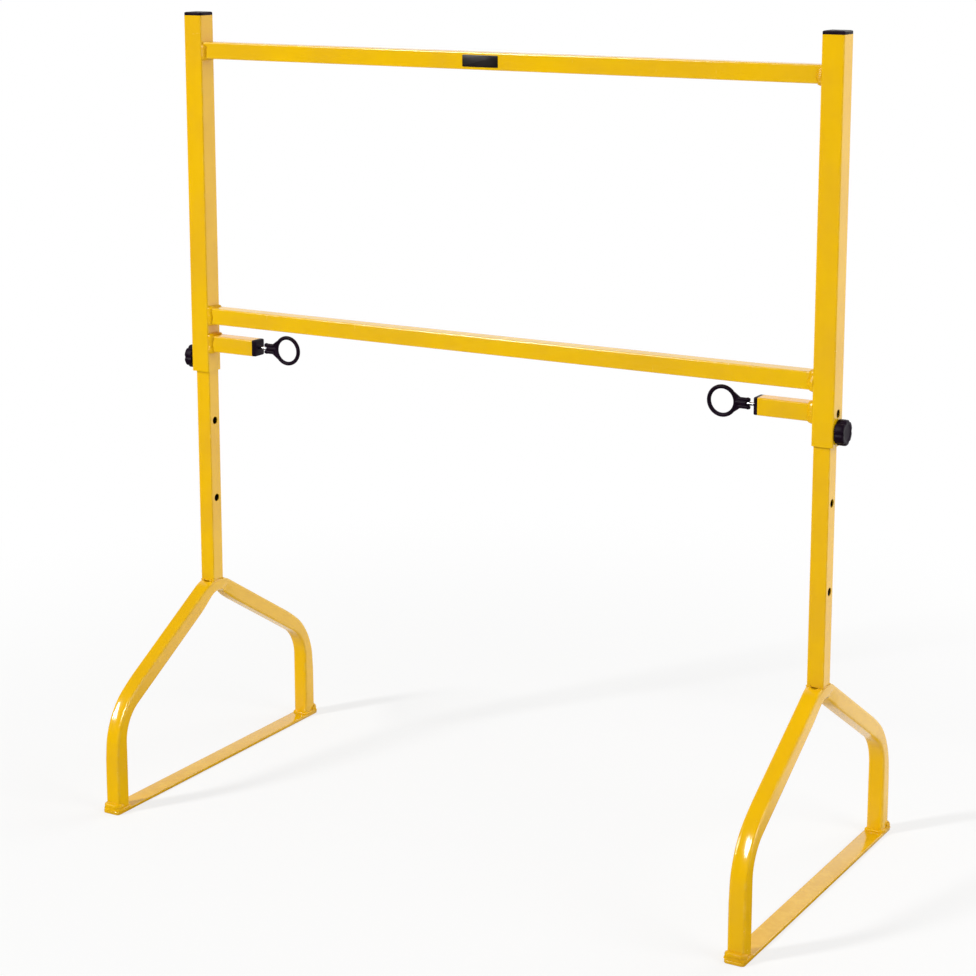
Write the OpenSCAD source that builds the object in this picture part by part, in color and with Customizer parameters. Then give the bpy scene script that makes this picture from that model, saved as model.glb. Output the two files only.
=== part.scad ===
// Builders trestle: a welded frame of two posts and two rails on two telescoping legs.
// Spring pins and clamp screws hold the legs in the posts, and each leg stands on a hooped foot.
// +X runs along the rails, +Z is up, and the origin is on the floor below the middle of the rails.

/* [Posts] */
// Distance between the centre lines of the two posts
post_spacing = 1040; // [800:10:1400]
// Outside width of the square post tube
post_side = 32; // [30:1:45]
// Wall of the post tube
post_wall = 1.5; // [1.2:0.1:3]
// Outside corner radius of the post tube
post_corner = 2.5; // [1.5:0.1:4]
// Length of the post tube
post_length = 552; // [400:1:800]
// Thickness of the post cap's flange
post_cap_flange = 5; // [2:0.5:10]
// Depth of the post cap's plug in the tube
post_cap_plug = 14; // [8:1:25]
// Wall of the hollow plug of the post cap
post_cap_wall = 2; // [1:0.1:4]

/* [Rails] */
// Outside width of the square rail tube
rail_side = 25; // [20:1:30]
// Wall of the rail tube
rail_wall = 1.5; // [1:0.1:3]
// Outside corner radius of the rail tube
rail_corner = 2; // [1:0.1:4]
// Height of the post tubes above the top rail, which stops a board from sliding off
board_stop = 40; // [25:1:80]

/* [Legs] */
// Slack between the leg and the post on each side, with the leg centred
leg_slack = 2; // [0.5:0.1:3]
// Wall of the leg tube
leg_wall = 1.5; // [1:0.1:3]
// Outside corner radius of the leg tube
leg_corner = 2; // [1:0.1:4]
// Length of leg that shows between the foot hoop and the post
leg_reach = 339; // [280:1:500]
// Length of leg inside the post
leg_grip = 260; // [120:1:280]
// Distance between the height holes in the leg
hole_pitch = 125; // [100:1:150]
// Number of height holes in the leg
hole_count = 3; // [2:1:3]

/* [Feet] */
// Outside width of the square hoop tube
hoop_side = 25; // [20:1:32]
// Wall of the hoop tube
hoop_wall = 1.5; // [1:0.1:3]
// Outside corner radius of the hoop tube
hoop_corner = 3; // [1.5:0.1:5]
// Outside width of the hoop from front to back
hoop_width = 528; // [440:1:700]
// Height of the hoop's crown above the foot bar
hoop_height = 301; // [260:1:400]
// Slope of the hoop's sides below the level
hoop_slope = 31; // [24:0.5:38]
// Bend radius of the shoulders, to the middle of the tube
shoulder_radius = 75; // [50:1:90]
// Bend radius of the crown, to the middle of the tube
crown_radius = 50; // [40:1:80]
// Thickness of the foot bar
bar_thick = 5; // [3:0.5:8]
// Width by which the foot bar stands out on each side of the hoop
bar_margin = 2.5; // [1:0.5:8]
// Length by which the foot bar stands out at each end of the hoop
bar_overhang = 6; // [3:0.5:15]
// Corner radius of the foot bar in plan
bar_corner = 4; // [1:0.5:8]

/* [Pin housings] */
// Outside width of the square housing tube
housing_side = 25; // [22:1:32]
// Wall of the housing tube
housing_wall = 1.5; // [1:0.1:2.5]
// Outside corner radius of the housing tube
housing_corner = 2; // [1:0.1:3]
// Length of the housing tube
housing_length = 81; // [70:1:120]
// Gap between the housing and the lower rail
housing_gap = 18.5; // [8:0.5:40]
// Height of the pin's axis above the lower end of the post
pin_rise = 45; // [38:1:70]
// Thickness of the housing cap's flange
housing_cap_flange = 6; // [3:0.5:10]
// Depth of the housing cap's plug in the tube
housing_cap_plug = 12; // [6:1:20]
// Length of the bush that guides the pin
bush_length = 12; // [6:1:16]

/* [Lock pins] */
// Diameter of the pin's nose
pin_d = 11; // [8:0.5:14]
// Radial play of the pin in the holes of the post and the leg
pin_play = 0.5; // [0.2:0.1:1]
// Bevel at the tip of the pin
pin_bevel = 1; // [0.5:0.1:2]
// Travel of the pin from the drawn position to its home in the leg
pin_home = 7.5; // [5:0.5:10]
// Space between the pin's collar and the wall of the housing
collar_space = 2; // [1:0.1:3]
// Thickness of the pin's collar
collar_thick = 3; // [2:0.5:5]
// Diameter of the pin's rod
rod_d = 5; // [4:0.5:7]
// Length of bare rod between the housing cap and the ring's neck
rod_bare = 10; // [6:0.5:20]
// Thickness of the washer between collar and spring
washer_thick = 1.2; // [0.8:0.1:2]
// Width by which the collar stands out around the spring
spring_inset = 1.5; // [0.5:0.1:2.5]
// Wire of the pin's spring
spring_wire = 1.5; // [0.8:0.1:1.8]
// Turns of the pin's spring
spring_turns = 9; // [6:1:12]

/* [Pull rings] */
// Outside diameter of the pull ring
ring_d = 46; // [35:1:60]
// Thickness of the ring
ring_wire = 6; // [4:0.5:8]
// Length of the forked neck up to the outside of the ring
neck_length = 19; // [16:0.5:35]
// Diameter of each prong of the neck
prong_d = 5.5; // [4:0.5:8]
// Length of the hub that holds the end of the rod, outside the ring
hub_length = 14; // [6:0.5:16]
// Wall of the hub around the rod
hub_wall = 1.5; // [1:0.1:3]
// Length of the flare between the ring and the prongs
flare_length = 6; // [3:0.5:12]
// Thickness of the flare
flare_thick = 4; // [2:0.5:6]
// Angle from the neck at which the flare meets the ring
flare_angle = 38; // [32:1:60]

/* [Clamp screws] */
// Distance of the clamp screw below the pin
clamp_drop = 25; // [22:1:30]
// Diameter of the stud
stud_d = 8; // [6:1:10]
// Thickness of the nut on the post
nut_thick = 4; // [3:0.5:6]
// Least wall of the hexagonal nut
nut_wall = 2.5; // [2:0.1:4]
// Diameter of the knob over its lobes
knob_d = 36; // [30:1:50]
// Thickness of the knob, whose pocket covers the nut
knob_thick = 13.5; // [12:0.5:20]
// Thickness of the knob over the end of the stud
knob_crown = 3; // [1.5:0.5:5]
// Diameter of each lobe of the knob
lobe_d = 15; // [12:0.5:18]
// Number of lobes
lobe_count = 6; // [5:1:8]
// Depth of the grooves between the lobes
groove_depth = 2.5; // [1.5:0.5:4]
// Bevel around the knob's faces
knob_bevel = 2; // [1:0.5:3]

/* [Welds and plate] */
// Size of the weld beads
weld_size = 2.5; // [1.5:0.1:3]
// Width of the plate on the top rail
plate_width = 58; // [40:1:100]
// Height of the plate
plate_height = 17; // [10:1:19]
// Thickness of the plate
plate_thick = 0.8; // [0.5:0.1:2]
// Distance of the plate's middle from the middle of the rail
plate_offset = -15; // [-100:1:100]

/* [Hidden] */
$fn = 48;

yellow_paint = [0.92, 0.71, 0.02];
black_plastic = [0.08, 0.07, 0.09];
bright_zinc = [0.76, 0.77, 0.79];
grey_nylon = [0.45, 0.46, 0.48];

// Gap between sliding faces
slide_gap = 0.3;
// Gap between the drawn pin and the leg
tip_gap = 0.5;
// Radial clearance of a running fit
running_gap = 0.05;
// Clearance around a plug, a bush or a spring's end
fit_gap = 0.1;
// Gap between the collar and the bush with the pin home
stop_gap = 0.3;
// Gap between the knob and the post
knob_gap = 0.8;
// Gap between the nut and the knob's pocket
pocket_gap = 1;
// Radial clearance of the stud in the wall of the post
stud_play = 0.5;
// Bevel at the tip of the stud
stud_bevel = 0.8;
// Least radius of an inside corner
least_corner = 0.3;
// Length by which a cut runs past the face that it opens
overrun = 1;
// Thinning of the hoop's wall on each face in a bend
bend_thinning = 0.02;
// Length by which a straight of the hoop laps into a bend
bend_lap = 0.5;
// Number of sides of a large round cut
fine = 180;

// Posts and rails
post_x = post_spacing / 2;
post_inner = post_side - 2 * post_wall;
post_face = post_x - post_side / 2;
post_back = post_x + post_side / 2;
rail_length = 2 * post_face;

// Heights, from the floor up
hoop_top = bar_thick + hoop_height;
post_low = hoop_top + leg_reach;
post_top = post_low + post_length;
pin_z = post_low + pin_rise;
clamp_z = pin_z - clamp_drop;
lower_rail_z = pin_z + housing_side / 2 + housing_gap + rail_side / 2;
top_rail_z = post_top - board_stop - rail_side / 2;

// The leg lies against the inner wall of the post, where the clamp screw pushes it
leg_side = post_inner - 2 * leg_slack;
leg_x = post_x - leg_slack + slide_gap;
leg_top = post_low + leg_grip;
hole_d = pin_d + 2 * pin_play;

// Bends of the hoop, in the plane of the foot
crown_outer = crown_radius + hoop_side / 2;
crown_z = hoop_top - crown_outer;
crown_end_y = crown_radius * sin(hoop_slope);
crown_end_z = crown_z + crown_radius * cos(hoop_slope);
shoulder_y = hoop_width / 2 - hoop_side / 2 - shoulder_radius;
slope_run = shoulder_y + shoulder_radius * sin(hoop_slope) - crown_end_y;
slope_length = slope_run / cos(hoop_slope);
shoulder_z = crown_end_z - slope_run * tan(hoop_slope) - shoulder_radius * cos(hoop_slope);
upright_y = shoulder_y + shoulder_radius;
bar_width = hoop_side + 2 * bar_margin;
bar_length = hoop_width + 2 * bar_overhang;

// Places along the pin, from the face of the post towards the middle of the trestle
housing_inner = housing_side - 2 * housing_wall;
pin_tip = tip_gap - slide_gap - post_wall;
collar_at = bush_length + pin_home + stop_gap;
collar_end = collar_at + collar_thick;
collar_d = housing_inner - 2 * collar_space;
washer_end = collar_end + washer_thick;
plug_face = housing_length - housing_cap_plug;
cap_face = housing_length + housing_cap_flange;
neck_at = cap_face + rod_bare;
ring_radius = (ring_d - ring_wire) / 2;
ring_at = neck_at + neck_length + ring_d / 2;
hub_at = neck_at + neck_length - hub_length;
hub_d = rod_d + 2 * hub_wall;
rod_end = neck_at + neck_length;
prong_offset = rod_d / 2 + running_gap + prong_d / 2;
prong_end = ring_at - sqrt(ring_radius * ring_radius - prong_offset * prong_offset);
flare_at = neck_at + neck_length - flare_length;
flare_narrow = prong_offset + prong_d / 2;
flare_wide = ring_d / 2 * sin(flare_angle);
flare_end = ring_at - ring_d / 2 * cos(flare_angle);

// The pin's spring, at its length with the pin drawn
spring_d = collar_d - 2 * spring_inset;
spring_radius = (spring_d - spring_wire) / 2;
spring_low = washer_end + fit_gap + spring_wire / 2;
spring_high = plug_face - fit_gap - spring_wire / 2;
spring_rise = (spring_high - spring_low) / spring_turns;
spring_steps = 8;
spring_sides = 6;
echo(least_gap_of_spring = spring_rise - spring_wire);

// Places along the clamp screw, from the outer face of the post outwards
stud_tip = leg_x + leg_side / 2 + slide_gap - post_back;
knob_at = knob_gap;
pocket_end = nut_thick + pocket_gap;
stud_end = knob_at + knob_thick - knob_crown;
nut_width = stud_d + 2 * nut_wall;
pocket_d = nut_width / cos(30) + 2 * pocket_gap;
lobe_radius = (knob_d - lobe_d) / 2;

function spring_point(turn) =
  [spring_radius * cos(turn), spring_radius * sin(turn), spring_low + spring_rise * turn / 360];

// One ring of wire around the coil's path, square to the path
function spring_ring(turn) =
  let (
    outward = [cos(turn), sin(turn), 0],
    rise = spring_rise / (2 * PI * spring_radius),
    along = [-sin(turn), cos(turn), rise] / sqrt(1 + rise * rise),
    across = cross(along, outward)
  )
  [for (i = [0 : spring_sides - 1])
    let (angle = 360 * i / spring_sides)
    spring_point(turn) + spring_wire / 2 * (cos(angle) * outward + sin(angle) * across)];

module rounded_rect(wide, deep, corner) {
  square([wide - 2 * corner, deep], center = true);
  square([wide, deep - 2 * corner], center = true);
  for (side_x = [-1, 1], side_y = [-1, 1])
    translate([side_x * (wide / 2 - corner), side_y * (deep / 2 - corner)])
      circle(corner);
}

module rounded_square(side, corner) {
  rounded_rect(side, side, corner);
}

module tube_section(side, wall, corner) {
  difference() {
    rounded_square(side, corner);
    rounded_square(side - 2 * wall, max(corner - wall, least_corner));
  }
}

// A bead around a square tube that stands on the plane z = 0
module weld_ring(side, corner) {
  difference() {
    for (turn = [0 : 90 : 270])
      rotate([0, 0, turn]) {
        translate([side / 2, 0, 0])
          rotate([90, 0, 0])
            cylinder(h = side, r = weld_size, center = true);
        translate([side / 2, side / 2, 0])
          sphere(weld_size);
      }
    translate([0, 0, -overrun])
      linear_extrude(weld_size + 2 * overrun)
        rounded_square(side, corner);
    translate([-side, -side, -2 * weld_size])
      cube([2 * side, 2 * side, 2 * weld_size]);
  }
}

// The left side is the right side turned about the middle of the trestle
module left() {
  rotate([0, 0, 180])
    children();
}

module right() {
  children();
}

// +Z along the pin towards the middle of the trestle, from the face of the post
module along_pin() {
  translate([post_face, 0, pin_z])
    rotate([0, -90, 0])
      children();
}

// +Z along the clamp screw outwards, from the outer face of the post
module along_clamp() {
  translate([post_back, 0, clamp_z])
    rotate([0, 90, 0])
      children();
}

// +X towards the back of the foot and +Y up, in the plane of the hoop
module in_hoop_plane() {
  translate([leg_x, 0, 0])
    rotate([90, 0, 90])
      children();
}

module post() {
  color(yellow_paint)
    difference() {
      translate([post_x, 0, post_low])
        linear_extrude(post_length)
          tube_section(post_side, post_wall, post_corner);
      translate([post_face - overrun, 0, pin_z])
        rotate([0, 90, 0])
          cylinder(h = post_side + 2 * overrun, d = hole_d);
      translate([post_x, 0, clamp_z])
        rotate([0, 90, 0])
          cylinder(h = post_side / 2 + overrun, d = stud_d + 2 * stud_play);
    }
}

module post_cap() {
  plug_side = post_inner - 2 * fit_gap;
  color(black_plastic)
    translate([post_x, 0, post_top]) {
      linear_extrude(post_cap_flange)
        rounded_square(post_side, post_corner);
      translate([0, 0, -post_cap_plug])
        linear_extrude(post_cap_plug)
          tube_section(plug_side, post_cap_wall, max(post_corner - post_wall, least_corner));
    }
}

module rail(height) {
  color(yellow_paint)
    translate([-post_face, 0, height])
      rotate([0, 90, 0])
        linear_extrude(rail_length)
          tube_section(rail_side, rail_wall, rail_corner);
}

module rail_welds(height) {
  color(yellow_paint)
    for (turn = [0, 180])
      rotate([0, 0, turn])
        translate([post_face, 0, height])
          rotate([0, -90, 0])
            weld_ring(rail_side, rail_corner);
}

// The top rail has no bead on its upper face, so that boards lie flat
module top_rail_welds() {
  color(yellow_paint)
    difference() {
      rail_welds(top_rail_z);
      translate([-post_spacing, -rail_side, top_rail_z + rail_side / 2])
        cube([2 * post_spacing, 2 * rail_side, rail_side]);
    }
}

module rail_plate() {
  color(black_plastic)
    translate([plate_offset - plate_width / 2, -rail_side / 2 - plate_thick, top_rail_z - plate_height / 2])
      cube([plate_width, plate_thick, plate_height]);
}

module pin_housing() {
  color(yellow_paint)
    along_pin()
      linear_extrude(housing_length)
        tube_section(housing_side, housing_wall, housing_corner);
}

module housing_weld() {
  color(yellow_paint)
    along_pin()
      weld_ring(housing_side, housing_corner);
}

module housing_cap() {
  plug_side = housing_inner - 2 * fit_gap;
  color(black_plastic)
    along_pin()
      difference() {
        union() {
          translate([0, 0, plug_face])
            linear_extrude(housing_cap_plug)
              rounded_square(plug_side, max(housing_corner - housing_wall, least_corner));
          translate([0, 0, housing_length])
            linear_extrude(housing_cap_flange)
              rounded_square(housing_side, housing_corner);
        }
        translate([0, 0, plug_face - overrun])
          cylinder(h = cap_face - plug_face + 2 * overrun, d = rod_d + 2 * running_gap);
      }
}

module pin_bush() {
  color(grey_nylon)
    along_pin()
      difference() {
        linear_extrude(bush_length)
          rounded_square(housing_inner - 2 * fit_gap, max(housing_corner - housing_wall, least_corner));
        translate([0, 0, -overrun])
          cylinder(h = bush_length + 2 * overrun, d = pin_d + 2 * running_gap);
      }
}

module pin_spring() {
  rings = spring_turns * spring_steps;
  points = [for (i = [0 : rings]) each spring_ring(360 * i / spring_steps)];
  sides = [
    for (i = [0 : rings - 1], j = [0 : spring_sides - 1])
      let (
        here = i * spring_sides + j,
        beside = i * spring_sides + (j + 1) % spring_sides,
        next = here + spring_sides,
        next_beside = beside + spring_sides
      )
      each [[here, beside, next_beside], [here, next_beside, next]]
  ];
  first_end = [for (j = [1 : spring_sides - 2]) [0, j + 1, j]];
  last = rings * spring_sides;
  last_end = [for (j = [1 : spring_sides - 2]) [last, last + j, last + j + 1]];
  color(bright_zinc)
    along_pin()
      polyhedron(points, concat(sides, first_end, last_end));
}

module lock_pin() {
  color(bright_zinc)
    along_pin()
      rotate_extrude()
        polygon([
          [0, pin_tip],
          [pin_d / 2 - pin_bevel, pin_tip],
          [pin_d / 2, pin_tip + pin_bevel],
          [pin_d / 2, collar_at],
          [collar_d / 2, collar_at],
          [collar_d / 2, collar_end],
          [rod_d / 2, collar_end],
          [rod_d / 2, rod_end],
          [0, rod_end]
        ]);
}

module spring_washer() {
  color(bright_zinc)
    along_pin()
      translate([0, 0, collar_end])
        difference() {
          cylinder(h = washer_thick, d = collar_d);
          translate([0, 0, -overrun])
            cylinder(h = washer_thick + 2 * overrun, d = rod_d + 2 * running_gap);
        }
}

module pull_ring() {
  color(black_plastic)
    along_pin()
      difference() {
        union() {
          translate([0, 0, ring_at])
            rotate([90, 0, 0])
              rotate_extrude()
                translate([ring_radius, 0])
                  circle(d = ring_wire);
          for (side = [-1, 1])
            translate([side * prong_offset, 0, neck_at])
              cylinder(h = prong_end - neck_at, d = prong_d);
          translate([0, 0, hub_at])
            cylinder(h = ring_at - ring_radius - hub_at, d = hub_d);
          rotate([90, 0, 0])
            linear_extrude(flare_thick, center = true)
              difference() {
                polygon([
                  [flare_narrow, flare_at],
                  [flare_wide, flare_end],
                  [-flare_wide, flare_end],
                  [-flare_narrow, flare_at]
                ]);
                translate([0, ring_at])
                  circle(ring_radius);
              }
        }
        translate([0, 0, neck_at - overrun])
          cylinder(h = rod_end - neck_at + overrun, d = rod_d + 2 * running_gap);
      }
}

module clamp_nut() {
  color(yellow_paint)
    along_clamp()
      difference() {
        cylinder(h = nut_thick, d = nut_width / cos(30), $fn = 6);
        translate([0, 0, -overrun])
          cylinder(h = nut_thick + 2 * overrun, d = stud_d + 2 * running_gap);
      }
}

module clamp_stud() {
  color(bright_zinc)
    along_clamp()
      rotate_extrude()
        polygon([
          [0, stud_tip],
          [stud_d / 2 - stud_bevel, stud_tip],
          [stud_d / 2, stud_tip + stud_bevel],
          [stud_d / 2, stud_end],
          [0, stud_end]
        ]);
}

module knob() {
  knob_end = knob_at + knob_thick;
  rim = knob_d / 2;
  color(black_plastic)
    along_clamp()
      difference() {
        intersection() {
          translate([0, 0, knob_at])
            linear_extrude(knob_thick) {
              circle(rim - groove_depth);
              for (i = [0 : lobe_count - 1])
                rotate(360 * i / lobe_count)
                  translate([lobe_radius, 0])
                    circle(d = lobe_d);
            }
          rotate_extrude()
            polygon([
              [0, knob_at],
              [rim - knob_bevel, knob_at],
              [rim, knob_at + knob_bevel],
              [rim, knob_end - knob_bevel],
              [rim - knob_bevel, knob_end],
              [0, knob_end]
            ]);
        }
        translate([0, 0, knob_at - overrun])
          cylinder(h = pocket_end - knob_at + overrun, d = pocket_d);
        translate([0, 0, knob_at - overrun])
          cylinder(h = stud_end + running_gap - knob_at + overrun, d = stud_d + 2 * running_gap);
      }
}

module leg() {
  color(yellow_paint)
    difference() {
      translate([leg_x, 0, crown_z])
        linear_extrude(leg_top - crown_z)
          tube_section(leg_side, leg_wall, leg_corner);
      translate([leg_x, 0, crown_z])
        rotate([0, 90, 0])
          cylinder(h = leg_side + 2 * overrun, r = crown_outer, center = true, $fn = fine);
      for (i = [0 : hole_count - 1])
        translate([leg_x, 0, pin_z - i * hole_pitch])
          rotate([0, 90, 0])
            cylinder(h = leg_side + 2 * overrun, d = hole_d, center = true);
    }
}

// A bead in front of and behind the leg, in the corner over the crown
module leg_weld() {
  corner_z = crown_z + sqrt(crown_outer * crown_outer - leg_side * leg_side / 4);
  bead_length = leg_side - 2 * leg_corner;
  color(yellow_paint)
    translate([leg_x, 0, 0])
      difference() {
        for (side = [-1, 1])
          translate([0, side * leg_side / 2, corner_z])
            rotate([0, 90, 0])
              cylinder(h = bead_length, r = weld_size, center = true);
        translate([0, 0, crown_z])
          linear_extrude(crown_outer + weld_size + overrun)
            rounded_square(leg_side, leg_corner);
        translate([0, 0, crown_z])
          rotate([0, 90, 0])
            cylinder(h = bead_length + 2 * overrun, r = crown_outer, center = true, $fn = fine);
      }
}

module hoop_straight(length) {
  translate([0, 0, -bend_lap])
    linear_extrude(length + 2 * bend_lap)
      tube_section(hoop_side, hoop_wall, hoop_corner);
}

module hoop_bend(radius, angle) {
  rotate_extrude(angle = angle)
    translate([radius, 0])
      tube_section(hoop_side - 2 * bend_thinning, hoop_wall - 2 * bend_thinning, hoop_corner);
}

module foot_hoop() {
  color(yellow_paint)
    in_hoop_plane()
      difference() {
        union() {
          translate([0, crown_z, 0])
            rotate([0, 0, 90 - hoop_slope])
              hoop_bend(crown_radius, 2 * hoop_slope);
          for (half = [0, 1])
            mirror([half, 0, 0]) {
              translate([crown_end_y, crown_end_z, 0])
                rotate([0, 90, -hoop_slope])
                  hoop_straight(slope_length);
              translate([shoulder_y, shoulder_z, 0])
                hoop_bend(shoulder_radius, 90 - hoop_slope);
              translate([upright_y, bar_thick, 0])
                rotate([-90, 0, 0])
                  hoop_straight(shoulder_z - bar_thick);
            }
        }
        translate([-hoop_width, bar_thick - 2 * hoop_side, -hoop_side])
          cube([2 * hoop_width, 2 * hoop_side, 2 * hoop_side]);
      }
}

module foot_bar() {
  color(yellow_paint)
    translate([leg_x, 0, 0])
      linear_extrude(bar_thick)
        rounded_rect(bar_width, bar_length, bar_corner);
}

module foot_welds() {
  color(yellow_paint)
    for (side = [-1, 1])
      translate([leg_x, side * upright_y, bar_thick])
        weld_ring(hoop_side, hoop_corner);
}

left() post();  // left_post
right() post();  // right_post
left() post_cap();  // left_post_cap
right() post_cap();  // right_post_cap
rail(top_rail_z);  // top_rail
rail(lower_rail_z);  // lower_rail
top_rail_welds();
rail_welds(lower_rail_z);  // lower_rail_welds
rail_plate();
left() pin_housing();  // left_pin_housing
right() pin_housing();  // right_pin_housing
left() housing_weld();  // left_housing_weld
right() housing_weld();  // right_housing_weld
left() housing_cap();  // left_housing_cap
right() housing_cap();  // right_housing_cap
left() pin_bush();  // left_pin_bush
right() pin_bush();  // right_pin_bush
left() pin_spring();  // left_pin_spring
right() pin_spring();  // right_pin_spring
left() clamp_nut();  // left_clamp_nut
right() clamp_nut();  // right_clamp_nut
left() lock_pin();  // left_lock_pin
right() lock_pin();  // right_lock_pin
left() spring_washer();  // left_spring_washer
right() spring_washer();  // right_spring_washer
left() pull_ring();  // left_pull_ring
right() pull_ring();  // right_pull_ring
left() clamp_stud();  // left_clamp_stud
right() clamp_stud();  // right_clamp_stud
left() knob();  // left_knob
right() knob();  // right_knob
left() leg();  // left_leg
right() leg();  // right_leg
left() leg_weld();  // left_leg_weld
right() leg_weld();  // right_leg_weld
left() foot_hoop();  // left_foot_hoop
right() foot_hoop();  // right_foot_hoop
left() foot_bar();  // left_foot_bar
right() foot_bar();  // right_foot_bar
left() foot_welds();  // left_foot_welds
right() foot_welds();  // right_foot_welds
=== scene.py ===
# Builders trestle: paint, plastic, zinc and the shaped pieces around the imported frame
import math
from types import SimpleNamespace

import bmesh
import bpy
from mathutils import Matrix, Vector, noise


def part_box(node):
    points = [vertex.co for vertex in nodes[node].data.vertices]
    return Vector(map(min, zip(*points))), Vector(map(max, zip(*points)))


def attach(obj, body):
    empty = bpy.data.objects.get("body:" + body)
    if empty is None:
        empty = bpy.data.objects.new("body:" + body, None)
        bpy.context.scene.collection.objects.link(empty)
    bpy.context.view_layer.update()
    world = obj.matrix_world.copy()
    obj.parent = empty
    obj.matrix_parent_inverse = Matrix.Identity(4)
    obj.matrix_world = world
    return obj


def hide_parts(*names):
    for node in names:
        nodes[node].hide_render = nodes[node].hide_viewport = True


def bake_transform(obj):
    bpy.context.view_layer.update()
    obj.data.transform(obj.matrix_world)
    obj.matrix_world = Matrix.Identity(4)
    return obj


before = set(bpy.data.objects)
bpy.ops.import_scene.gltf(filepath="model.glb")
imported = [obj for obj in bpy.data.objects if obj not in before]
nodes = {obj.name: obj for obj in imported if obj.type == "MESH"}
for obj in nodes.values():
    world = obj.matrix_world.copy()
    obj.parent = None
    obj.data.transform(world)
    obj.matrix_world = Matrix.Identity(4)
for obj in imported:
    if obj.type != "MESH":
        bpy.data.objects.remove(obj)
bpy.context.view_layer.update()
print("frame loaded:", len(nodes), "CAD nodes")


# Camera at the photograph's place
cameraSet = {
    "place": (1.6782, -2.9138, 1.3686),
    "down": 0.1935,
    "left": 0.5249,
    "sensor": 36,
    "lens": 86.72,
    "shiftY": -0.13,
}


def makeCamera():
    lensData = bpy.data.cameras.new("photoCamera")
    lensData.sensor_width = cameraSet["sensor"]
    lensData.lens = cameraSet["lens"]
    lensData.shift_y = cameraSet["shiftY"]
    camera = bpy.data.objects.new("photoCamera", lensData)
    camera.location = cameraSet["place"]
    camera.rotation_euler = (math.pi / 2 - cameraSet["down"], 0, cameraSet["left"])
    bpy.context.scene.collection.objects.link(camera)
    bpy.context.scene.camera = camera


makeCamera()
print("camera set")


# Studio: white sweep behind, dim room in front so that the paint isn't washed out, soft lamps
studio = {
    "roomTone": (1, 0.99, 0.97, 1),
    "roomLight": 0.55,
    "roomFront": 0.16,
    "floorSize": 80,
    "floorTone": 0.82,
    "shadowShare": 0.3,
    "shadowNear": 0.6,
    "shadowFar": 1.9,
    "frontDark": 0.01,
    "floorDim": (0.0, 0.5),
    "sweepDim": (0.15, 0.6),
    "roomDim": (-0.7, 0.3),
    "lamps": {
        "keyLamp": {"place": (-4.3, -6.1, 5.4), "aim": (0, 0, 0.5), "size": (0.85, 2.9), "power": 580},
        "sideLamp": {"place": (3.4, -0.4, 2.2), "aim": (0, 0, 0.6), "size": (2.0, 2.0), "power": 46},
        "backLamp": {"place": (1.2, 3.2, 3.0), "aim": (0, 0, 0.6), "size": (2.4, 2.4), "power": 45},
    },
}


def addMath(tree, operation, first, second):
    step = tree.nodes.new("ShaderNodeMath")
    step.operation = operation
    for socket, value in zip(step.inputs, (first, second)):
        if isinstance(value, (int, float)):
            socket.default_value = value
        else:
            tree.links.new(value, socket)
    return step.outputs[0]


def addRange(tree, value, fromMin, fromMax, toMin=0.0, toMax=1.0):
    ramp = tree.nodes.new("ShaderNodeMapRange")
    ramp.interpolation_type = "SMOOTHSTEP"
    tree.links.new(value, ramp.inputs["Value"])
    for name, number in (("From Min", fromMin), ("From Max", fromMax), ("To Min", toMin), ("To Max", toMax)):
        ramp.inputs[name].default_value = number
    return ramp.outputs["Result"]


def glossTone(tree, glossy, place, front, back):
    # white for the camera, and for glossy rays white far behind the trestle and dim elsewhere
    split = tree.nodes.new("ShaderNodeSeparateXYZ")
    tree.links.new(place, split.inputs[0])
    dim = addRange(tree, split.outputs["Y"], front, back, 1 - studio["frontDark"], 0.0)
    return addMath(tree, "SUBTRACT", 1.0, addMath(tree, "MULTIPLY", glossy, dim))


def cameraRays(tree, path):
    # what the camera sees, also through clear pieces
    return addMath(tree, "MAXIMUM", path.outputs["Is Camera Ray"], path.outputs["Is Transmission Ray"])


def showMix(tree, share, first, second, outKind):
    mix = tree.nodes.new("ShaderNodeMixShader")
    out = tree.nodes.new(outKind)
    for source, socket in zip((share, first.outputs[0], second.outputs[0]), mix.inputs):
        tree.links.new(source, socket)
    tree.links.new(mix.outputs[0], out.inputs["Surface"])


def makeWorld():
    world = bpy.data.worlds.new("studioRoom")
    bpy.context.scene.world = world
    world.use_nodes = True
    tree = world.node_tree
    tree.nodes.clear()
    room = tree.nodes.new("ShaderNodeBackground")
    room.inputs["Color"].default_value = studio["roomTone"]
    sweep = tree.nodes.new("ShaderNodeBackground")
    sweep.inputs["Color"].default_value = (1, 1, 1, 1)
    coords = tree.nodes.new("ShaderNodeTexCoord")
    split = tree.nodes.new("ShaderNodeSeparateXYZ")
    tree.links.new(coords.outputs["Generated"], split.inputs[0])
    front, back = studio["roomDim"]
    strength = addRange(tree, split.outputs["Y"], front, back, studio["roomFront"], studio["roomLight"])
    tree.links.new(strength, room.inputs["Strength"])
    path = tree.nodes.new("ShaderNodeLightPath")
    glossy = path.outputs["Is Glossy Ray"]
    tone = glossTone(tree, glossy, coords.outputs["Generated"], *studio["sweepDim"])
    tree.links.new(tone, sweep.inputs["Strength"])
    seen = addMath(tree, "MAXIMUM", cameraRays(tree, path), glossy)
    showMix(tree, seen, room, sweep, "ShaderNodeOutputWorld")


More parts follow.
